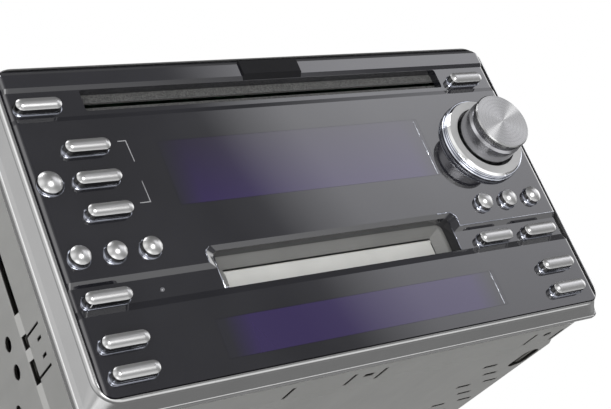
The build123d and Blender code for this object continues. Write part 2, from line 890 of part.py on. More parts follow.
def top_cover():
    """Lid with turned-down side flanges and cooling slots at the back."""
    lid = block(-half_w, half_w, ring_depth, rear_y, unit_h - sheet, unit_h)
    outer = half_w - sheet - 0.05
    for side in (-1, 1):
        x0, x1 = sorted((side * outer, side * (outer - sheet)))
        flange = block(x0, x1, joggle_y + 8, rear_y - 6, unit_h - sheet - flange_h, unit_h - sheet)
        lid += flange
    for side, y in cover_screws():
        lid -= rod_x(y, cover_screw_z, screw_r + screw_play, side * half_w - 5, side * half_w + 5)
    for i in range(9):
        x = -48 + 12 * i
        lid -= block(x - 1.2, x + 1.2, rear_y - 34, rear_y - 12, unit_h - 3, unit_h + 1)
    return lid


# Rear

def rear_panel():
    """Rear plate with the ways through for the sockets."""
    outline = Pos(0, (unit_h - sheet) / 2) * Rectangle(unit_w, unit_h - sheet)
    outline = fillet(outline.vertices().group_by(Axis.Y)[0], bend_r)
    plate = prism(outline, rear_y - rear_t, rear_y)
    plate -= prism(socket_outline(seat_gap), rear_y - 4, rear_y + 1)
    plate -= rod_y(antenna_x, antenna_z, antenna_r + seat_gap, rear_y - 4, rear_y + 1)
    for x, z in rear_screws():
        plate -= screwed(x, z, rear_y - 4, rear_y + 1, screw_r)
    return plate


def heat_sink():
    """Cast heat sink of the amplifier, with upright fins on its outside."""
    x0 = sink_x - sink_w / 2
    z0 = mid_z - sink_h / 2
    body = block(x0, x0 + sink_w, rear_y, rear_y + sink_base, z0, z0 + sink_h)
    pitch = (sink_w - fin_t) / (fin_count - 1)
    for i in range(fin_count):
        x = x0 + i * pitch
        body += block(x, x + fin_t, rear_y + sink_base / 2, rear_y + sink_out, z0, z0 + sink_h)
    return body


def socket_outline(grow=0.0):
    return Pos(socket_x, socket_z) * Rectangle(socket_w + 2 * grow, socket_h + 2 * grow)


def wiring_socket():
    """Open plug socket for the car's harness, standing on the main board."""
    body = prism(socket_outline(), rear_y - socket_in, rear_y + socket_out)
    body -= prism(socket_outline(-socket_wall), rear_y - socket_in / 2, rear_y + socket_out + 1)
    half = socket_w / 2 - 4
    foot = block(socket_x - half, socket_x + half, rear_y - socket_in, main_board_rear - 2,
                 main_board_z + board_t, socket_z - socket_h / 2 + 1)
    return body + foot


def antenna_socket():
    y0 = rear_y - antenna_in
    body = rod_y(antenna_x, antenna_z, antenna_r, y0, rear_y + antenna_out)
    body += rod_y(antenna_x, antenna_z, antenna_r + 2, rear_y - rear_t - 2, rear_y - rear_t)
    return body - rod_y(antenna_x, antenna_z, antenna_bore_r, y0 + 4, rear_y + antenna_out + 1)


def tuner_module():
    """Screening can of the tuner on the main board, open at its foot."""
    base = main_board_z + board_t
    y1 = rear_y - antenna_in
    x0 = -main_board_w / 2
    can = block(x0, x0 + tuner_w, y1 - tuner_l, y1, base, base + tuner_h)
    can = fillet(can.edges().filter_by(Axis.Z), 1.2)
    return can - block(x0 + tuner_wall, x0 + tuner_w - tuner_wall, y1 - tuner_l + tuner_wall,
                       y1 - tuner_wall, base - 1, base + tuner_h - tuner_wall)


def power_capacitors():
    base = main_board_z + board_t
    cans = [rod_z(x, capacitor_y, capacitor_r, base, base + capacitor_h) for x in capacitor_x]
    cans.append(rod_z(small_capacitor_x, small_capacitor_y, small_capacitor_r, base,
                      base + small_capacitor_h))
    return Compound(children=cans)


def amplifier_module():
    """Output stage, pressed against the rear plate under the heat sink."""
    y1 = rear_y - rear_t
    base = main_board_z + board_t
    return block(sink_x - amplifier_w / 2, sink_x + amplifier_w / 2, main_board_rear - 2, y1,
                 base, base + amplifier_h)


# Screws

def screw_at(place):
    """Pan-head screw whose head's underside lies at the place, pointing along its Z."""
    shank = Pos(0, 0, screw_l / 2) * Cylinder(screw_r, screw_l)
    head = Pos(0, 0, -screw_head_t / 2) * Cylinder(screw_head_r, screw_head_t)
    return place * (shank + head)


def case_screws():
    screws = []
    for x, z in rear_screws():
        screws.append(screw_at(Plane(origin=(x, rear_y, z), z_dir=(0, -1, 0))))
    for side, y in cover_screws():
        x = side * (half_w - sheet)
        screws.append(screw_at(Plane(origin=(x, y, cover_screw_z), z_dir=(-side, 0, 0))))
    for x, z in post_places():
        y = board_front + board_t
        screws.append(screw_at(Plane(origin=(x, y, z), z_dir=(0, -1, 0))))
    for x, y in board_posts():
        z = main_board_z + board_t
        screws.append(screw_at(Plane(origin=(x, y, z), z_dir=(0, 0, -1))))
    return Compound(children=screws)


# Compact disc mechanism

def damper_places():
    return [(side * damper_x, y) for side in (-1, 1)
            for y in (deck_front + damper_inset, deck_rear - damper_inset)]


def rod_places():
    return [disc_y - rod_pitch / 2, disc_y + rod_pitch / 2]


deck_base = disc_z - deck_floor
rod_z_axis = deck_base + deck_sheet + rod_lift
roller_axis = disc_z - disc_half_t - roller_r
arm_z = disc_z + arm_drop
rod_start = motor_r + 2.5


def cd_deck():
    """Open tray of the disc mechanism, with the roller's bearings and the rods' seats."""
    half = deck_w / 2
    floor_top = deck_base + deck_sheet
    body = block(-half, half, deck_front, deck_rear, deck_base, disc_z + deck_head)
    body -= block(-half + deck_sheet, half - deck_sheet, deck_front - 1, deck_rear + 1,
                  floor_top, disc_z + deck_head + 1)
    for x, y in damper_places():
        x0, x1 = sorted((x - copysign(ear_w / 2, x), x + copysign(ear_w / 2, x)))
        body += block(x0, x1, y - ear_l / 2, y + ear_l / 2, deck_base, floor_top)
    for y in rod_places():
        body += block(rod_start, rod_start + 2.5, y - 3, y + 3, floor_top - 0.2, rod_z_axis + 3)
        body -= rod_x(y, rod_z_axis, rod_r + 0.02, rod_start - 0.5, half - deck_sheet)
    body -= rod_x(roller_y, roller_axis, axle_r + running, -half - 1, half + 1)
    body -= rod_z(0, disc_y - 40, 9.0, deck_base - 1, floor_top + 1)
    body -= rod_z(-45, disc_y + 10, 14.0, deck_base - 1, floor_top + 1)
    return body


def guide_rods():
    end = deck_w / 2 - deck_sheet
    rods = [rod_x(y, rod_z_axis, rod_r, rod_start, end) for y in rod_places()]
    return Compound(children=rods)


def cd_deck_roof():
    """Roof of the mechanism with the disc guide at the front and the arm's ears."""
    half = deck_w / 2
    z0 = disc_z + deck_head
    roof = block(-half, half, deck_front, deck_rear, z0, z0 + deck_sheet)
    roof -= rod_z(0, disc_y, clamper_head_r + 4, z0 - 1, z0 + 3)
    guide_z = disc_z + disc_half_t + guide_nip
    roof += block(-roller_l / 2, roller_l / 2, roller_y - 4, roller_y + 4, guide_z, z0 + 0.5)
    for side in (-1, 1):
        x0, x1 = sorted((side * (arm_w / 2 + 0.4), side * (arm_w / 2 + 2.4)))
        roof += block(x0, x1, arm_pin_y - 3, arm_pin_y + 3, arm_z - 1.8, z0 + 0.5)
    return roof - rod_x(arm_pin_y, arm_z + arm_t / 2, arm_pin_r + running, -arm_w, arm_w)


def cd_feed_roller():
    """Steel axle with a rubber roller that narrows to the middle."""
    half = roller_l / 2
    outline = [(-half, 0), (-half, roller_r), (0, roller_waist), (half, roller_r), (half, 0)]
    face = make_face(Polyline([(x, z) for x, z in outline], close=True))
    rubber = revolve(Plane.XZ * face, Axis.X)
    body = Pos(0, roller_y, roller_axis) * rubber
    return body + rod_x(roller_y, roller_axis, axle_r, -deck_w / 2 - 1, deck_w / 2 + 1)


def spindle_motor():
    base = deck_base + deck_sheet
    case = fillet(rod_z(0, disc_y, motor_r, base, base + motor_h).edges().group_by(Axis.Z)[-1], 1.2)
    return case - rod_z(0, disc_y, spindle_r + running, base + 3, base + motor_h + 1)


def cd_turntable():
    """Turntable with a centring hub, on the motor's spindle."""
    seat = disc_z - disc_half_t - turntable_drop
    body = rod_z(0, disc_y, turntable_r, seat - turntable_t, seat)
    hub = rod_z(0, disc_y, turntable_hub_r, seat - 0.4, seat + turntable_hub_h)
    body += chamfer(hub.edges().group_by(Axis.Z)[-1], 0.6)
    return body + rod_z(0, disc_y, spindle_r, deck_base + deck_sheet + 3.2, seat - 0.8)


def cd_pickup():
    """Laser sled on the two guide rods, with its lens on top."""
    half = rod_pitch / 2 + 3
    z0 = rod_z_axis - sled_t / 2
    body = block(sled_x - sled_w / 2, sled_x + sled_w / 2, disc_y - half, disc_y + half,
                 z0, z0 + sled_t)
    body = fillet(body.edges().filter_by(Axis.Z), 2.0)
    for y in rod_places():
        body -= rod_x(y, rod_z_axis, rod_r + running, 0, deck_w)
    lens = rod_z(sled_x - 5, disc_y, lens_r, z0 + sled_t - 0.2, z0 + sled_t + 1.2)
    return body + fillet(lens.edges().group_by(Axis.Z)[-1], 0.5)


def cd_clamp_arm():
    """Arm that lowers the clamper on the disc, turning on a pin at its rear."""
    half = arm_w / 2
    plate = block(-half, half, arm_front, arm_pin_y, arm_z, arm_z + arm_t)
    plate = fillet(plate.edges().filter_by(Axis.Z).group_by(Axis.Y)[0], 6.0)
    plate -= rod_z(0, disc_y, clamper_neck_r + 0.3, arm_z - 1, arm_z + 3)
    plate -= block(-half + 7, half - 7, disc_y + 16, arm_pin_y - 12, arm_z - 1, arm_z + 3)
    pin_z = arm_z + arm_t / 2
    return plate + rod_x(arm_pin_y, pin_z, arm_pin_r, -half - 2.4, half + 2.4)


def cd_clamper():
    """Magnet puck that hangs in the arm."""
    top = arm_z + arm_t
    seat = disc_z + disc_half_t + 0.6
    body = rod_z(0, disc_y, clamper_r, seat, seat + clamper_t)
    body += rod_z(0, disc_y, clamper_neck_r, seat + clamper_recess, top + 0.5)
    body -= rod_z(0, disc_y, turntable_hub_r + 0.4, seat - 1, seat + clamper_recess)
    return body + rod_z(0, disc_y, clamper_head_r, top + 0.1, top + 0.8)


def deck_dampers():
    """Rubber feet that carry the disc mechanism, waisted in the middle."""
    feet = []
    for x, y in damper_places():
        outline = [(0, 0), (damper_r, 0), (damper_r, 1.6), (damper_r - 1.4, damper_h / 2),
                   (damper_r, damper_h - 1.6), (damper_r, damper_h), (0, damper_h)]
        foot = revolve(Plane.XZ * make_face(Polyline(outline, close=True)), Axis.Z)
        feet.append(Pos(x, y, deck_base - damper_h) * foot)
    return Compound(children=feet)


def deck_bracket():
    """Pair of side plates with shelves for the dampers, joined by the small deck's shelf."""
    shelf_z = deck_base - damper_h
    md_z = md_deck_bottom
    y0 = joggle_y + joggle_run + 0.6
    y1 = deck_rear
    body = block(-bracket_x, bracket_x, y0, md_shelf_rear, md_z - deck_sheet, md_z)
    body -= block(-md_deck_w / 4, md_deck_w / 4, y0 + 12, md_shelf_rear - 14, md_z - 3, md_z + 1)
    for side in (-1, 1):
        outer = side * (bracket_x + deck_sheet)
        x0, x1 = sorted((side * bracket_x, outer))
        plate = block(x0, x1, y0, y1, sheet, shelf_z)
        plate -= block(x0 - 1, x1 + 1, md_shelf_rear + 8, y1 - 10, 26, shelf_z - 12)
        body += plate
        f0, f1 = sorted((outer, side * (bracket_x - bracket_foot_w)))
        body += block(f0, f1, y0 + 24, y0 + 40, sheet, sheet + deck_sheet)
        body += block(f0, f1, y1 - 16, y1, sheet, sheet + deck_sheet)
        s0, s1 = sorted((outer, side * (damper_x - damper_r - 1)))
        for x, y in damper_places():
            half = bracket_shelf_l / 2
            body += block(s0, s1, y - half, y + half, shelf_z - deck_sheet, shelf_z)
    return body


def md_deck_case():
    """Case of the small-disc mechanism, open at the front."""
    half = md_deck_w / 2
    y0 = ring_depth + sheet
    body = block(-half, half, y0, md_deck_rear, md_deck_bottom, md_deck_top)
    body = fillet(body.edges().filter_by(Axis.Y), 1.5)
    inner = half - deck_sheet
    body -= block(-inner, inner, y0 + deck_sheet, md_deck_rear - deck_sheet,
                  md_deck_bottom + deck_sheet, md_deck_top - deck_sheet)
    mouth = md_throat_w / 2
    body -= block(-mouth, mouth, y0 - 1, y0 + 3, md_throat_bottom, md_throat_top)
    body -= block(-22, 30, y0 + 30, md_deck_rear - 22, md_deck_top - 3, md_deck_top + 1)
    return body


def model():
    """Every sub-part, by the name of its node."""
    parts = {
        "chassis": chassis(),
        "top_cover": top_cover(),
        "rear_panel": rear_panel(),
        "heat_sink": heat_sink(),
        "front_bezel": trim_ring(),
        "face_panel": face_panel(),
        "badge_tab": badge_tab(),
        "main_window": window(main_window_outline(), out_main),
        "lower_window": window(lower_window_outline(), out_lower),
        "main_display": display(main_window_w, main_window_h, main_window_z),
        "lower_display": display(lower_window_w, lower_window_h, lower_window_z),
        "slot_felts": slot_felts(),
        "md_slot_frame": md_slot_frame(),
        "md_flap": md_flap(),
        "knob_collar": knob_collar(),
        "volume_knob": volume_knob(),
        "knob_cap": knob_cap(),
        "encoder_shaft": encoder_shaft(),
        "encoder_rotor": encoder_rotor(),
        "encoder_housing": encoder_housing(),
        "tact_switches": tact_switches(),
        "front_board": front_board(),
        "main_board": main_board(),
        "tuner_module": tuner_module(),
        "power_capacitors": power_capacitors(),
        "amplifier_module": amplifier_module(),
        "wiring_socket": wiring_socket(),
        "antenna_socket": antenna_socket(),
        "case_screws": case_screws(),
        "cd_deck": cd_deck(),
        "cd_deck_roof": cd_deck_roof(),
        "guide_rods": guide_rods(),
        "deck_dampers": deck_dampers(),
        "deck_bracket": deck_bracket(),
        "spindle_motor": spindle_motor(),
        "cd_feed_roller": cd_feed_roller(),
        "cd_turntable": cd_turntable(),
        "cd_pickup": cd_pickup(),
        "cd_clamp_arm": cd_clamp_arm(),
        "cd_clamper": cd_clamper(),
        "md_deck_case": md_deck_case(),
    }
    for name, x, z, kind, out in button_layout():
        parts[name] = button(x, z, kind, out)
    return parts


for part_name, part_shape in model().items():
    save(part_name, part_shape)
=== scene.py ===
"""A double-height car disc player: its finishes and fine trim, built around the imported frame."""

import json

import bpy
import numpy as np
from mathutils import Matrix, Vector


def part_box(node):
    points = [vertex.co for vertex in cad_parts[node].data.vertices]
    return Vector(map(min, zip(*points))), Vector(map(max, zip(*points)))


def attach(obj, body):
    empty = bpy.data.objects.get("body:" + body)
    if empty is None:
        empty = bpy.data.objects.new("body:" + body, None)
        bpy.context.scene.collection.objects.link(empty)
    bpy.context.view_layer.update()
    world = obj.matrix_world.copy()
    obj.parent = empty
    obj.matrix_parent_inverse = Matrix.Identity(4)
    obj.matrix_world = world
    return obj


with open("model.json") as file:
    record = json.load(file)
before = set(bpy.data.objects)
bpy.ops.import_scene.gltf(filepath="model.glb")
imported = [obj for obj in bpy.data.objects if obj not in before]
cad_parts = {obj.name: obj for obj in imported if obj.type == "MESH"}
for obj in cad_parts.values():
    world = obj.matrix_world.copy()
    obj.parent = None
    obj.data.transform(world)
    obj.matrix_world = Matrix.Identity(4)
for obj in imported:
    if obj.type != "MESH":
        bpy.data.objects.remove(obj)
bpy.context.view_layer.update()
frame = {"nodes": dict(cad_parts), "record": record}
nodes = frame["nodes"]
scene = bpy.context.scene
scene.view_settings.view_transform = "Standard"
MM = 0.001


# Node trees

def new_material(name):
    """A new material, with its node tree and its Principled shader."""
    material = bpy.data.materials.new(name)
    material.use_nodes = True
    tree = material.node_tree
    return material, tree, tree.nodes["Principled BSDF"]


def node(tree, kind, **settings):
    """A new node of one kind, with its settings."""
    made = tree.nodes.new(kind)
    for key, value in settings.items():
        setattr(made, key, value)
    return made


def feed(tree, made, sockets):
    """Fills a node's sockets, each with another node's output or with a plain value."""
    for key, value in sockets.items():
        if isinstance(value, bpy.types.NodeSocket):
            tree.links.new(value, made.inputs[key])
        else:
            made.inputs[key].default_value = value


def arithmetic(tree, operation, *values):
    """A sum, product or other operation on outputs and plain numbers."""
    made = node(tree, "ShaderNodeMath", operation=operation)
    feed(tree, made, dict(enumerate(values)))
    return made.outputs[0]


def vector_arithmetic(tree, operation, *values):
    """The same on vectors; a length and a dot product give a number."""
    made = node(tree, "ShaderNodeVectorMath", operation=operation)
    feed(tree, made, dict(enumerate(values)))
    return made.outputs["Value" if operation in ("LENGTH", "DOT_PRODUCT") else "Vector"]


def object_point(tree):
    """A surface point in object coordinates, which are the frame's own."""
    return node(tree, "ShaderNodeTexCoord").outputs["Object"]


def axes(tree, vector):
    """A vector's outputs named X, Y and Z."""
    made = node(tree, "ShaderNodeSeparateXYZ")
    feed(tree, made, {"Vector": vector})
    return made.outputs


def noise(tree, point, scale, detail=3.0, rough=0.5, stretch=None):
    """Noise in object space, stretched along an axis where asked."""
    if stretch is not None:
        mapping = node(tree, "ShaderNodeMapping")
        feed(tree, mapping, {"Vector": point, "Scale": stretch})
        point = mapping.outputs["Vector"]
    made = node(tree, "ShaderNodeTexNoise")
    feed(tree, made, {"Vector": point, "Scale": scale, "Detail": detail, "Roughness": rough})
    return made.outputs["Fac"]


def rescale(tree, value, start, end, low=0.0, high=1.0):
    """Maps start..end to low..high, and holds a value beyond them at the nearer end."""
    span = node(tree, "ShaderNodeMapRange")
    feed(tree, span, {"Value": value, "From Min": start, "From Max": end,
                      "To Min": low, "To Max": high})
    return span.outputs["Result"]


def spread(tree, share, low, high):
    """Maps a share from 0 to 1 to low..high."""
    return rescale(tree, share, 0.0, 1.0, low, high)


def ramp(tree, value, low, high, stops):
    """Maps low..high to a row of colours, each at its own place from 0 to 1."""
    made = node(tree, "ShaderNodeValToRGB")
    elements = made.color_ramp.elements
    while len(elements) < len(stops):
        elements.new(0.5)
    for element, (place, colour) in zip(elements, stops):
        element.position = place
        element.color = (*colour, 1.0)
    feed(tree, made, {"Fac": rescale(tree, value, low, high)})
    return made.outputs["Color"]


def greys(*stops):
    """Stops for a ramp from pairs of a place and a grey level."""
    return [(place, (level, level, level)) for place, level in stops]


def fade(tree, value, low, high, start=0.0, end=1.0):
    """A grey that goes from level start to level end as the value goes from low to high."""
    return ramp(tree, value, low, high, greys((0.0, start), (1.0, end)))


def blend(tree, share, first, second):
    """Mixes two colours: the first at share 0 and the second at share 1."""
    made = node(tree, "ShaderNodeMix", data_type="RGBA")
    feed(tree, made, {"Factor": share, "A": first, "B": second})
    return made.outputs["Result"]


def bump(tree, shader, height, distance):
    """Raises the surface by a pattern of heights."""
    made = node(tree, "ShaderNodeBump")
    feed(tree, made, {"Strength": 1.0, "Distance": distance, "Height": height})
    feed(tree, shader, {"Normal": made.outputs["Normal"]})


def mixed_output(tree, kind, share, first, second):
    """Ends a tree in an output of one kind, with two shaders mixed by a share."""
    mix = node(tree, "ShaderNodeMixShader")
    feed(tree, mix, {"Fac": share, 1: first.outputs[0], 2: second.outputs[0]})
    feed(tree, node(tree, kind), {"Surface": mix.outputs[0]})


# Finishes

# The middle part of a noise, through which its colours change
cloud_span = (0.3, 0.7)
# A polished clear skin, as on the front and the lenses
plastic_ior = 1.5
polish = 0.03
clear_skin = {"IOR": plastic_ior, "Coat Weight": 1.0, "Coat Roughness": polish}
# The black that a lens fades into, and how far from its end the fade starts and is full
lens_black = (0.013, 0.013, 0.018, 1.0)
lens_fade_start, lens_fade_end = 9 * MM, 1 * MM
# The painted shade inside the case's cuts, and how far under the skin it starts and is full
cut_shade_black = (0.030, 0.029, 0.027, 1.0)
skin_start, skin_end = 0.12 * MM, 0.30 * MM
# The step behind the case's front band: where it starts and ends, and how deep it is
band_rear, band_end, band_step = -54.75 * MM, -52.35 * MM, 0.60 * MM


def cloudy(tree, point, base, change, scale, detail=3.0, rough=0.5):
    """The base colour in soft clouds, from a little darker to a little lighter."""
    darker = tuple(max(0.0, c * (1 - change)) for c in base)
    lighter = tuple(min(1.0, c * (1 + change)) for c in base)
    clouds = noise(tree, point, scale, detail, rough)
    return ramp(tree, clouds, *cloud_span, [(0.0, darker), (1.0, lighter)])


def moulded(name, base, rough, grain=0.00002, coat=0.0, metal=0.0, change=0.08, scale=900.0,
            ior=plastic_ior):
    """Moulded or painted plastic: faint colour clouds, a fine grain and uneven gloss."""
    material, tree, shader = new_material(name)
    point = object_point(tree)
    fine = noise(tree, point, scale, 4.0)
    feed(tree, shader, {"Base Color": cloudy(tree, point, base, change, 60.0),
                        "Roughness": spread(tree, fine, rough * 0.8, rough * 1.2),
                        "Metallic": metal, "IOR": ior,
                        "Coat Weight": coat, "Coat Roughness": polish})
    bump(tree, shader, fine, grain)
    return material


def cut_shade_mask(tree, point):
    """A grey that is 0 on the case's skin and 1 on the walls of its cuts, where it lays painted
    shade.

    Depth = the least distance to the sides, the floor, the lid and the rear, less the depth of
    the step where the front band lies lower. The step falls evenly from band_rear to band_end."""
    place = axes(tree, point)
    low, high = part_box("chassis")
    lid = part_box("top_cover")[1][2]
    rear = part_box("rear_panel")[1][1]
    depth = arithmetic(tree, "SUBTRACT", high[0], arithmetic(tree, "ABSOLUTE", place["X"]))
    for outer, inner in ((place["Z"], low[2]), (lid, place["Z"]), (rear, place["Y"])):
        distance = arithmetic(tree, "SUBTRACT", outer, inner)
        depth = arithmetic(tree, "MINIMUM", depth, distance)
    step = rescale(tree, place["Y"], band_rear, band_end, band_step, 0.0)
    return fade(tree, arithmetic(tree, "SUBTRACT", depth, step), skin_start, skin_end)


def sheet_metal(name, base, rough, stretch=(1, 1, 1), scale=220.0, grain=0.000002, metal=0.85,
                change=0.06, shaded_cuts=False):
    """Rolled or plated sheet: long streaks across a soft cloudiness, and painted shade on the
    walls of its cuts where asked.
    """
    material, tree, shader = new_material(name)
    point = object_point(tree)
    colour = cloudy(tree, point, base, change, 45.0, 5.0, 0.6)
    # Painted shade: the walls of the case's cuts blend into a dark grey
    if shaded_cuts:
        colour = blend(tree, cut_shade_mask(tree, point), colour, cut_shade_black)
    streaks = noise(tree, point, scale, 3.0, 0.6, stretch)
    feed(tree, shader, {"Base Color": colour,
                        "Roughness": spread(tree, streaks, rough * 0.8, rough * 1.25),
                        "Metallic": metal})
    bump(tree, shader, streaks, grain)
    return material


def gloss_front():
    """Deep black moulding with a polished skin and faint wipe marks."""
    material, tree, shader = new_material("gloss_black_front")
    point = object_point(tree)
    stops = [(0.0, (0.010, 0.010, 0.013)), (1.0, (0.016, 0.016, 0.020))]
    wipe = noise(tree, point, 140.0, 4.0, 0.6)
    feed(tree, shader, {"Base Color": ramp(tree, noise(tree, point, 30.0), *cloud_span, stops),
                        "Roughness": spread(tree, wipe, 0.03, 0.08), **clear_skin})
    return material


def tinted_lens(name, near, far, low, high, half_width):
    """Smoked lens over a violet display.

    The tint goes from near to far between the heights low and high, and into black towards both
    ends of the display, half_width from the middle."""
    material, tree, shader = new_material(name)
    place = axes(tree, object_point(tree))
    tint = ramp(tree, place["Z"], low, high, [(0.0, near), (1.0, far)])
    ends = fade(tree, arithmetic(tree, "ABSOLUTE", place["X"]),
                half_width - lens_fade_start, half_width - lens_fade_end)
    feed(tree, shader, {"Base Color": blend(tree, ends, tint, lens_black),
                        "Roughness": 0.06, **clear_skin})
    return material


def turned(name, base, rough, centre, draw):
    """Metal turned about the knob's axis: fine rings that draw each light out along the radius.

    The rings are a sine of the distance from the axis, and draw says how strongly they act."""
    rings, grain = 5000.0, 0.0000004
    material, tree, shader = new_material(name)
    point = object_point(tree)
    from_centre = vector_arithmetic(tree, "SUBTRACT", point, centre)
    spoke = vector_arithmetic(tree, "MULTIPLY", from_centre, (1.0, 0.0, 1.0))
    distance = vector_arithmetic(tree, "LENGTH", spoke)
    wave = arithmetic(tree, "SINE", arithmetic(tree, "MULTIPLY", distance, rings))
    feed(tree, shader, {"Base Color": cloudy(tree, point, base, 0.03, 160.0),
                        "Roughness": spread(tree, wave, rough * 0.95, rough * 1.05),
                        "Tangent": vector_arithmetic(tree, "NORMALIZE", spoke),
                        "Metallic": 1.0, "Anisotropic": draw})
    bump(tree, shader, wave, grain)
    return material


def two_finish(name, face, side, limit):
    """Metal with one finish on its front and one on its sides, told apart by the normal along Y.

    Each finish is a level, a roughness and a metallic share. The front begins where the normal
    points forwards by more than limit."""
    change_over = 0.08
    material, tree, shader = new_material(name)
    normal = axes(tree, node(tree, "ShaderNodeTexCoord").outputs["Normal"])
    front = fade(tree, normal["Y"], -limit - change_over, -limit, 1.0, 0.0)
    for socket, on_face, on_side in zip(("Base Color", "Roughness", "Metallic"), face, side):
        feed(tree, shader, {socket: spread(tree, front, on_side, on_face)})
    bump(tree, shader, noise(tree, object_point(tree), 700.0), 0.0000003)
    return material


def felt():
    """Short dark pile: a dense speckle and a soft sheen."""
    material, tree, shader = new_material("slot_felt")
    pile = noise(tree, object_point(tree), 2600.0, 2.0, 0.7)
    stops = [(0.0, (0.020, 0.020, 0.020)), (1.0, (0.095, 0.095, 0.092))]
    feed(tree, shader, {"Base Color": ramp(tree, pile, 0.35, 0.65, stops),
                        "Roughness": 0.95, "Sheen Weight": 0.3})
    bump(tree, shader, pile, 0.00015)
    return material


def board():
    """Laminate with a dark green mask, kept darker than its own colour as painted shade inside the
    case, and faint tracks.
    """
    material, tree, shader = new_material("laminate_board")
    tracks = noise(tree, object_point(tree), 300.0, 1.0, 0.3, (1.0, 0.15, 1.0))
    # The mask's greens are darkened as painted shade for the inside of the case
    stops = [(0.0, (0.006, 0.018, 0.010)), (0.5, (0.008, 0.024, 0.012)),
             (1.0, (0.016, 0.045, 0.022))]
    feed(tree, shader, {"Base Color": ramp(tree, tracks, 0.4, 0.6, stops), "Roughness": 0.4})
    bump(tree, shader, tracks, 0.00003)
    return material


knob_low, knob_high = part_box("knob_cap")
knob_centre = tuple((knob_low + knob_high) / 2)
# The large display's foot, head and half width
display_foot, display_head, display_half = 0.0509, 0.0749, 0.0480
faint_grain = 0.0000001

finishes = {
    # The case's cuts carry painted shade on their walls
    "case_steel": sheet_metal("plated_case_sheet", (0.58, 0.58, 0.565), 0.42, (1, 0.08, 1),
                              change=0.04, shaded_cuts=True),
    "bezel_silver": moulded("silver_ring_paint", (0.48, 0.48, 0.48), 0.20, grain=faint_grain,
                            metal=0.9, change=0.03, scale=350.0),
    "face_black": gloss_front(),
    "badge_black": moulded("tab_satin_black", (0.006, 0.006, 0.007), 0.55, ior=1.22),
    "window_violet": tinted_lens("violet_lens", (0.022, 0.013, 0.060), (0.014, 0.011, 0.024),
                                 display_foot, display_head, display_half),
    "display_dark": moulded("display_cell", (0.03, 0.025, 0.06), 0.3),
    "button_silver": two_finish("satin_button", (0.46, 0.30, 0.85), (0.30, 0.08, 1.0), 0.5),
    "knob_silver": turned("knob_side_metal", (0.42, 0.42, 0.44), 0.22, knob_centre, 0.3),
    "cap_aluminium": turned("spun_cap", (0.34, 0.34, 0.34), 0.28, knob_centre, 0.97),
    "collar_silver": two_finish("collar_chrome", (0.36, 0.5, 0.35), (0.85, 0.07, 1.0), 0.9),
    "felt_dark": felt(),
    "md_grey": sheet_metal("funnel_grey", (0.145, 0.145, 0.14), 0.35, (0.02, 1, 1),
                           scale=1400.0, grain=0.00006, metal=0.0, change=0.1),
    "flap_grey": moulded("flap_grey", (0.50, 0.50, 0.48), 0.45),
    "board_green": board(),
    "switch_black": moulded("switch_black", (0.03, 0.03, 0.03), 0.5),
    "mech_steel": sheet_metal("mechanism_sheet", (0.56, 0.55, 0.52), 0.38, (1, 0.1, 1)),
    "pin_steel": sheet_metal("ground_pin", (0.66, 0.66, 0.66), 0.2, (0.05, 1, 1), metal=1.0),
    "sink_aluminium": sheet_metal("sink_casting", (0.52, 0.52, 0.52), 0.5, grain=0.00004),
    "tin_plate": sheet_metal("tin_plate", (0.62, 0.61, 0.58), 0.3),
    "capacitor_sleeve": moulded("capacitor_sleeve", (0.02, 0.03, 0.06), 0.3),
    "chip_black": moulded("chip_black", (0.02, 0.02, 0.02), 0.6),
    "socket_plastic": moulded("socket_black", (0.035, 0.035, 0.035), 0.45),
    "damper_rubber": moulded("damper_rubber", (0.02, 0.02, 0.02), 0.8),
    "roller_rubber": moulded("roller_rubber", (0.05, 0.05, 0.05), 0.7),
    "pickup_black": moulded("pickup_black", (0.03, 0.03, 0.035), 0.4),
    "clamper_white": moulded("clamper_white", (0.60, 0.60, 0.56), 0.4),
    "screw_zinc": sheet_metal("screw_zinc", (0.60, 0.60, 0.56), 0.35, metal=1.0),
    "bright_trim": moulded("bright_trim", (0.62, 0.64, 0.70), 0.10, grain=faint_grain,
                           metal=1.0, change=0.02, scale=400.0),
    "rim_trim": moulded("rim_trim", (0.26, 0.27, 0.31), 0.10, grain=faint_grain,
                        metal=1.0, change=0.02, scale=400.0),
    "marking_grey": moulded("marking_grey", (0.26, 0.26, 0.27), 0.5, grain=0.0000002),
    "lamp_clear": moulded("lamp_clear", (0.10, 0.10, 0.11), 0.08, grain=faint_grain, coat=1.0),
}

for part in frame["record"]["subparts"]:
    mesh = nodes[part["node"]].data
    mesh.materials.clear()
    mesh.materials.append(finishes[part["material_slot"]])


# Fine trim that the solids leave out

# How far the face of each strip of the front lies behind the foremost one, in millimetres
strip_depths = {"main": 0.5, "cd": 0.8, "lower": 0.9, "md": 1.7}
front_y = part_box("face_panel")[0][1]
strip_y = {strip: front_y + depth * MM for strip, depth in strip_depths.items()}

# Width and height of a button's foot in millimetres: most are pills, and these groups are round
pill_foot = (13.2, 3.8)
round_feet = {"left": (5.7, 5.7), "right": (5.7, 5.7), "round": (6.8, 6.8)}
# The strip that each group of buttons stands on; the others stand on the main one
button_strips = {"md": "md", "lower": "lower", "top": "cd"}


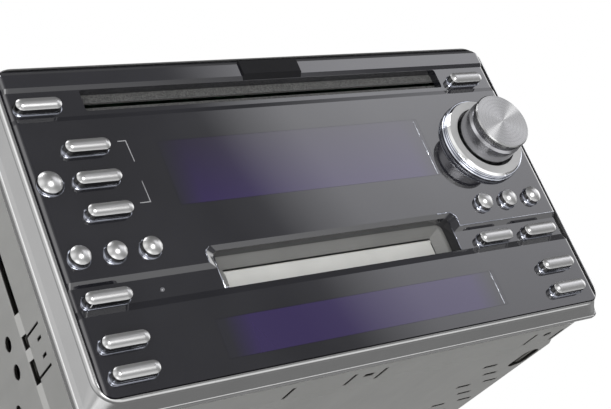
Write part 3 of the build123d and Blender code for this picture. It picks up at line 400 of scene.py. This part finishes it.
def grid_piece(name, points, finish, closed=(True, True)):
    """A mesh on a grid of points, rows by columns, joined to itself in each closed direction."""
    rows, columns = points.shape[:2]
    index = np.arange(rows * columns).reshape(rows, columns)
    if closed[0]:
        index = np.vstack([index, index[:1]])
    if closed[1]:
        index = np.hstack([index, index[:, :1]])
    quads = np.stack([index[:-1, :-1], index[1:, :-1], index[1:, 1:], index[:-1, 1:]], axis=-1)
    mesh = bpy.data.meshes.new(name)
    mesh.from_pydata(points.reshape(-1, 3).tolist(), [], quads.reshape(-1, 4).tolist())
    mesh.polygons.foreach_set("use_smooth", np.ones(len(mesh.polygons), dtype=bool))
    mesh.update()
    mesh.materials.append(finishes[finish])
    piece = bpy.data.objects.new(name, mesh)
    scene.collection.objects.link(piece)
    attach(piece, "head_unit")


def gathered(ring):
    """A ring of points drawn together into its middle, which closes a piece's end."""
    return np.repeat(ring.mean(axis=1, keepdims=True), ring.shape[1], axis=1)


def middle(node_name):
    """The middle of a node in the face's plane, as X and Z, and its width."""
    low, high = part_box(node_name)
    return (low[0] + high[0]) / 2, (low[2] + high[2]) / 2, high[0] - low[0]


def loop_path(x, z, half, radius, count=72):
    """A stadium in the face's plane: two half circles joined by straight sides.

    Point = centre + half * sign(cos t) + radius * (cos t, sin t), half along X alone; the
    outward normal is (cos t, sin t)."""
    t = (np.arange(count) + 0.5) * 2 * np.pi / count
    normal = np.stack([np.cos(t), np.sin(t)], axis=1)
    place = np.array([x, z]) + radius * normal
    place[:, 0] += half * np.sign(normal[:, 0])
    return place, normal


def carried(path, off, depth):
    """A section carried round a path: point = place + normal * off, at its own depth along Y."""
    place, normal = path
    spot = place[:, None, :] + normal[:, None, :] * off[..., None]
    return np.stack([spot[..., 0], np.broadcast_to(depth, spot.shape[:2]), spot[..., 1]], axis=2)


def foot_rims():
    """A hollow-curved bright rim on the face round each button's foot, fullest at its lower left.

    Section: off = gap + width * (1 - cos a), depth = width * (sin a - 1) for a in 0..90 degrees,
    closed under the face. The width grows from slim to full with the fourth power of the
    normal's share of the direction to the lower left."""
    gap, slim, full, buried = 0.10 * MM, 0.24 * MM, 0.80 * MM, 0.60 * MM
    lower_left = np.array([-0.8, -0.6])
    a = np.linspace(0.0, np.pi / 2, 7)
    for part in frame["record"]["subparts"]:
        kind, _, name = part["node"].partition("_")
        if kind != "button":
            continue
        group = name.split("_")[0]
        x, z, _ = middle(part["node"])
        wide, high = (size * MM for size in round_feet.get(group, pill_foot))
        path = loop_path(x, z, (wide - high) / 2, high / 2)
        share = np.clip(path[1] @ lower_left, 0.0, 1.0)[:, None] ** 4
        width = slim + (full - slim) * share
        off = gap + width * np.append(1 - np.cos(a), [1.0, 0.0])
        depth = np.hstack([width * (np.sin(a) - 1), np.full((len(width), 2), buried)])
        face = strip_y[button_strips.get(group, "main")]
        grid_piece("foot_rim_" + name, carried(path, off, face + depth), "rim_trim")


def collar_beads():
    """Three half-round bright beads round the collar's side, the lowest one the widest.

    Section: radius * (cos b, sin b) about each bead's centre, its inner half in the collar."""
    x, z, width = middle("knob_collar")
    sides, count = 12, 144
    b = np.arange(sides) * 2 * np.pi / sides
    for name, out, height, radius in (("foot", 0.0, 0.45, 0.45), ("middle", -0.25, 1.25, 0.32),
                                      ("upper", -0.15, 2.10, 0.36)):
        off = (out + radius * np.cos(b)) * MM
        depth = strip_y["main"] + (radius * np.sin(b) - height) * MM
        path = loop_path(x, z, 0.0, width / 2, count)
        grid_piece("collar_bead_" + name, carried(path, off[None, :], depth), "bright_trim")


def disc_lamp():
    """A clear dome in the small hole beside the disc slot.

    Point = centre + radius * (sin a cos t, -rise cos a, sin a sin t), a from 0 to 90 degrees."""
    x, z, radius, rise, root = -60.6 * MM, 29.5 * MM, 0.66 * MM, 0.45 * MM, 1.2 * MM
    rings, sides = 10, 32
    a = np.linspace(0.02, np.pi / 2, rings)[:, None]
    t = (np.arange(sides) * 2 * np.pi / sides)[None, :]
    dome = np.stack([x + radius * np.sin(a) * np.cos(t),
                     strip_y["md"] - rise * np.cos(a) + 0 * t,
                     z + radius * np.sin(a) * np.sin(t)], axis=2)
    back = dome[-1:] + np.array([0.0, root, 0.0])
    points = np.concatenate([gathered(dome[:1]), dome, back, gathered(back)])
    grid_piece("disc_lamp", points, "lamp_clear", closed=(False, True))


def ribbon(name, corners, width, strip, proud, finish):
    """A flat band along a line on a strip, mitred at its corners, with a low round back.

    Section across the band: off = width / 2 * cos c, height = proud * sin c for c in 0..180
    degrees, closed under the face. All lengths are in millimetres."""
    buried = 0.1
    line = np.array(corners) * MM
    run = np.diff(line, axis=0)
    run /= np.linalg.norm(run, axis=1, keepdims=True)
    side = np.stack([-run[:, 1], run[:, 0]], axis=1)
    mitre = np.vstack([side[:1], side[:-1] + side[1:], side[-1:]])
    mitre /= (mitre * np.vstack([side[:1], side])).sum(axis=1, keepdims=True)
    c = np.linspace(0, np.pi, 7)
    off = np.append(width / 2 * np.cos(c), [-width / 2, width / 2]) * MM
    height = np.append(proud * np.sin(c), [-buried, -buried]) * MM
    points = carried((line, mitre), off[None, :], strip_y[strip] - height)
    grid_piece(name, np.concatenate([gathered(points[:1]), points, gathered(points[-1:])]),
               finish, closed=(False, True))


foot_rims()
collar_beads()
disc_lamp()
edge_inset, edge_gap = 1.2, 0.3
for window, strip in (("main_window", "main"), ("lower_window", "lower")):
    low, high = (np.array(corner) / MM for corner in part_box(window))
    edge = high[0] - edge_inset
    ribbon(window + "_edge", [(edge, low[2] + edge_gap), (edge, high[2] - edge_gap)], 0.22,
           strip, 0.08, "bright_trim")
ribbon("mouth_edge_right", [(38.0, 39.45), (43.2, 39.45), (44.75, 38.0), (44.75, 34.65),
                            (85.0, 34.65)], 0.26, "main", 0.10, "rim_trim")
ribbon("mouth_edge_left", [(-43.2, 39.45), (-44.75, 38.0), (-44.75, 34.65)], 0.26, "main", 0.10,
       "rim_trim")
ribbon("well_edge_left", [(-42.2, 36.8), (-42.2, 27.3), (-41.0, 27.3)], 0.34, "md", 0.14,
       "bright_trim")
ribbon("well_edge_right", [(42.2, 36.8), (42.2, 27.3)], 0.26, "md", 0.10, "rim_trim")
for name, corners in (("upper", [(-58.5, 74.1), (-56.0, 74.1), (-55.6, 67.4)]),
                      ("lower", [(-55.6, 61.2), (-55.3, 54.7), (-58.5, 54.7)])):
    ribbon("tuning_mark_" + name, corners, 0.28, "main", 0.02, "marking_grey")


# Camera, solved from the photograph: below the unit, in front of its left lower corner

right = Vector((0.81107, -0.45821, -0.36360))
down = Vector((-0.10094, 0.50262, -0.85859))
forward = right.cross(down).normalized()
camera_place = Vector((-0.22781, -0.36294, -0.09017))
camera_data = bpy.data.cameras.new("photo_camera")
camera_data.sensor_fit = "HORIZONTAL"
camera_data.sensor_width = 36.0
camera_data.lens = 78.891
camera_data.clip_start = 0.01
camera = bpy.data.objects.new("photo_camera", camera_data)
scene.collection.objects.link(camera)
turn = Matrix((right, -down, -forward)).transposed()
camera.matrix_world = Matrix.Translation(camera_place) @ turn.to_4x4()
scene.camera = camera


# Studio: a pale floor seen only from above, a white world and soft lamps

def studio_floor():
    """A wide square just under the unit; it isn't there from below, nor for light and gloss."""
    size, height = 3.0, -0.0002
    corners = [(-size, -size, height), (size, -size, height), (size, size, height),
               (-size, size, height)]
    mesh = bpy.data.meshes.new("floor")
    mesh.from_pydata(corners, [], [(0, 1, 2, 3)])
    floor = bpy.data.objects.new("floor", mesh)
    scene.collection.objects.link(floor)
    material = bpy.data.materials.new("pale_floor")
    material.use_nodes = True
    tree = material.node_tree
    tree.nodes.clear()
    solid = node(tree, "ShaderNodeBsdfDiffuse")
    feed(tree, solid, {"Color": (0.9, 0.9, 0.9, 1)})
    clear = node(tree, "ShaderNodeBsdfTransparent")
    path = node(tree, "ShaderNodeLightPath").outputs
    unseen = node(tree, "ShaderNodeNewGeometry").outputs["Backfacing"]
    for ray in ("Is Shadow Ray", "Is Diffuse Ray", "Is Glossy Ray"):
        unseen = arithmetic(tree, "MAXIMUM", unseen, path[ray])
    mixed_output(tree, "ShaderNodeOutputMaterial", unseen, solid, clear)
    mesh.materials.append(material)


def studio_world():
    """White for the camera, and for gloss and glass in the direction behind the unit.

    Everything else sees a dim grey room with a bright side, whose edge is soft, a light floor
    in front of the unit, and four round patches of light. Each patch grows with the cosine of
    the angle to its middle, from faint to full."""
    world = bpy.data.worlds.new("studio")
    scene.world = world
    world.use_nodes = True
    tree = world.node_tree
    tree.nodes.clear()
    direction = node(tree, "ShaderNodeTexCoord").outputs["Generated"]
    along = axes(tree, direction)

    def towards(aim):
        return vector_arithmetic(tree, "DOT_PRODUCT", direction, aim)

    def times(first, second):
        return vector_arithmetic(tree, "MULTIPLY", first, second)

    edge = ramp(tree, towards((0.7259, 0.6546, 0.2111)), -0.10, 0.10,
                greys((0.0, 0.04), (0.30, 0.0), (0.44, 0.06), (0.56, 0.45), (0.72, 0.85),
                      (1.0, 1.0)))
    pane = fade(tree, towards((0.72, -0.63, 0.29)), 0.90, 0.97)
    rise = fade(tree, along["Z"], 0.15, 0.42, 0.45, 1.0)
    bright_side = times(times(edge, pane), rise)
    room = ramp(tree, along["Z"], -1.0, 1.0,
                greys((0.0, 0.22), (0.30, 0.24), (0.42, 0.34), (0.52, 0.20), (0.75, 0.22),
                      (0.88, 0.10), (1.0, 0.15)))
    below = fade(tree, along["Z"], -0.62, -0.48, 1.05, 0.0)
    ahead = fade(tree, along["Y"], -0.12, 0.08, 1.0, 0.0)
    glows = [times(below, ahead)]
    for aim, faint, full, level in (((-0.90, -0.20, 0.38), 0.3, 1.0, 0.8),
                                    ((-0.66, -0.66, 0.34), 0.90, 0.97, 1.0),
                                    ((0.970, -0.050, 0.237), 0.93, 0.98, 2.5),
                                    ((-0.49, -0.65, -0.58), 0.93, 0.985, 3.4)):
        glows.append(fade(tree, towards(aim), faint, full, 0.0, level))
    for glow in glows:
        room = vector_arithmetic(tree, "ADD", room, glow)
    tint = (1.8, 1.8, 1.88)
    lit = node(tree, "ShaderNodeBackground")
    feed(tree, lit, {"Color": vector_arithmetic(tree, "MULTIPLY_ADD", bright_side, tint, room)})
    white = node(tree, "ShaderNodeBackground")
    feed(tree, white, {"Color": (1, 1, 1, 1)})
    path = node(tree, "ShaderNodeLightPath").outputs
    mirrored = arithmetic(tree, "MAXIMUM", path["Is Glossy Ray"], path["Is Transmission Ray"])
    behind = fade(tree, towards((0.5762, 0.7331, 0.3614)), 0.90, 0.97)
    backdrop = arithmetic(tree, "MULTIPLY", mirrored, behind)
    shown = arithmetic(tree, "MAXIMUM", path["Is Camera Ray"], backdrop)
    mixed_output(tree, "ShaderNodeOutputWorld", shown, lit, white)


def soft_lamp(name, place, side, power):
    """A square lamp that faces the middle of the unit."""
    unit_middle = Vector((0, 0, 0.05))
    data = bpy.data.lights.new(name, "AREA")
    data.size = side
    data.energy = power
    lamp = bpy.data.objects.new(name, data)
    scene.collection.objects.link(lamp)
    lamp.location = place
    lamp.rotation_euler = (unit_middle - Vector(place)).to_track_quat("-Z", "Y").to_euler()


studio_floor()
studio_world()
soft_lamp("front_lamp", (0.15, -1.3, 0.05), 0.30, 7.0)
soft_lamp("top_lamp", (-0.3, -0.2, 1.6), 0.8, 10.0)
